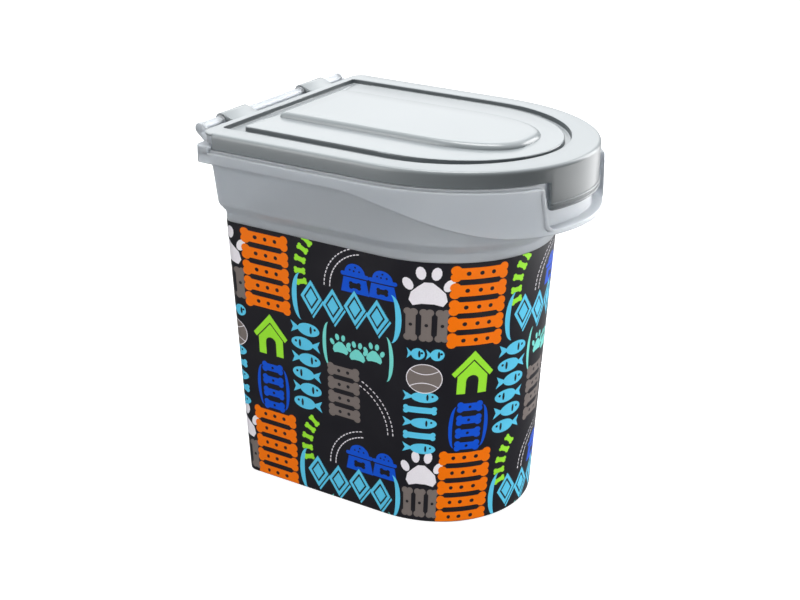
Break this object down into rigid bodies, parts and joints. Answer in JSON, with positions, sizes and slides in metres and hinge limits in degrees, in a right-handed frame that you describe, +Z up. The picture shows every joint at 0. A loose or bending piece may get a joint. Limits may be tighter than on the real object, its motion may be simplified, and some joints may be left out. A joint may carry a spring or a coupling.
{
  "type": "pet food bin",
  "caption": "D-shaped storage bin for dry pet food: a clear tub with a finger notch and a printed wrap, and a lid with a pull tab that clips on to a hinge bar at the back.",
  "frame": {"origin": "on the floor, at the middle of the bin's bounding box", "axes": "+X to the bin's right as seen from behind its pull tab, +Y to the hinge at the back, +Z up; the pull tab faces -Y"},
  "size_m": [0.2446, 0.3116, 0.3285],
  "materials": {
    "clear_plastic": "translucent moulded polypropylene, slightly milky, soft gloss",
    "printed_film": "charcoal film with a coloured print, satin",
    "grey_plastic": "moulded light grey polypropylene, satin gloss"
  },
  "bodies": {
    "bin": {"tub": "clear_plastic", "printed_wrap": "printed_film"},
    "lid": {"lid": "grey_plastic"}
  },
  "joints": [
    {"name": "lid_hinge", "type": "hinge", "parent": "bin", "child": "lid", "pos_m": [0, 0.1492, 0.321], "axis": [-1, 0, 0], "range_deg": [0, 270]}
  ]
}
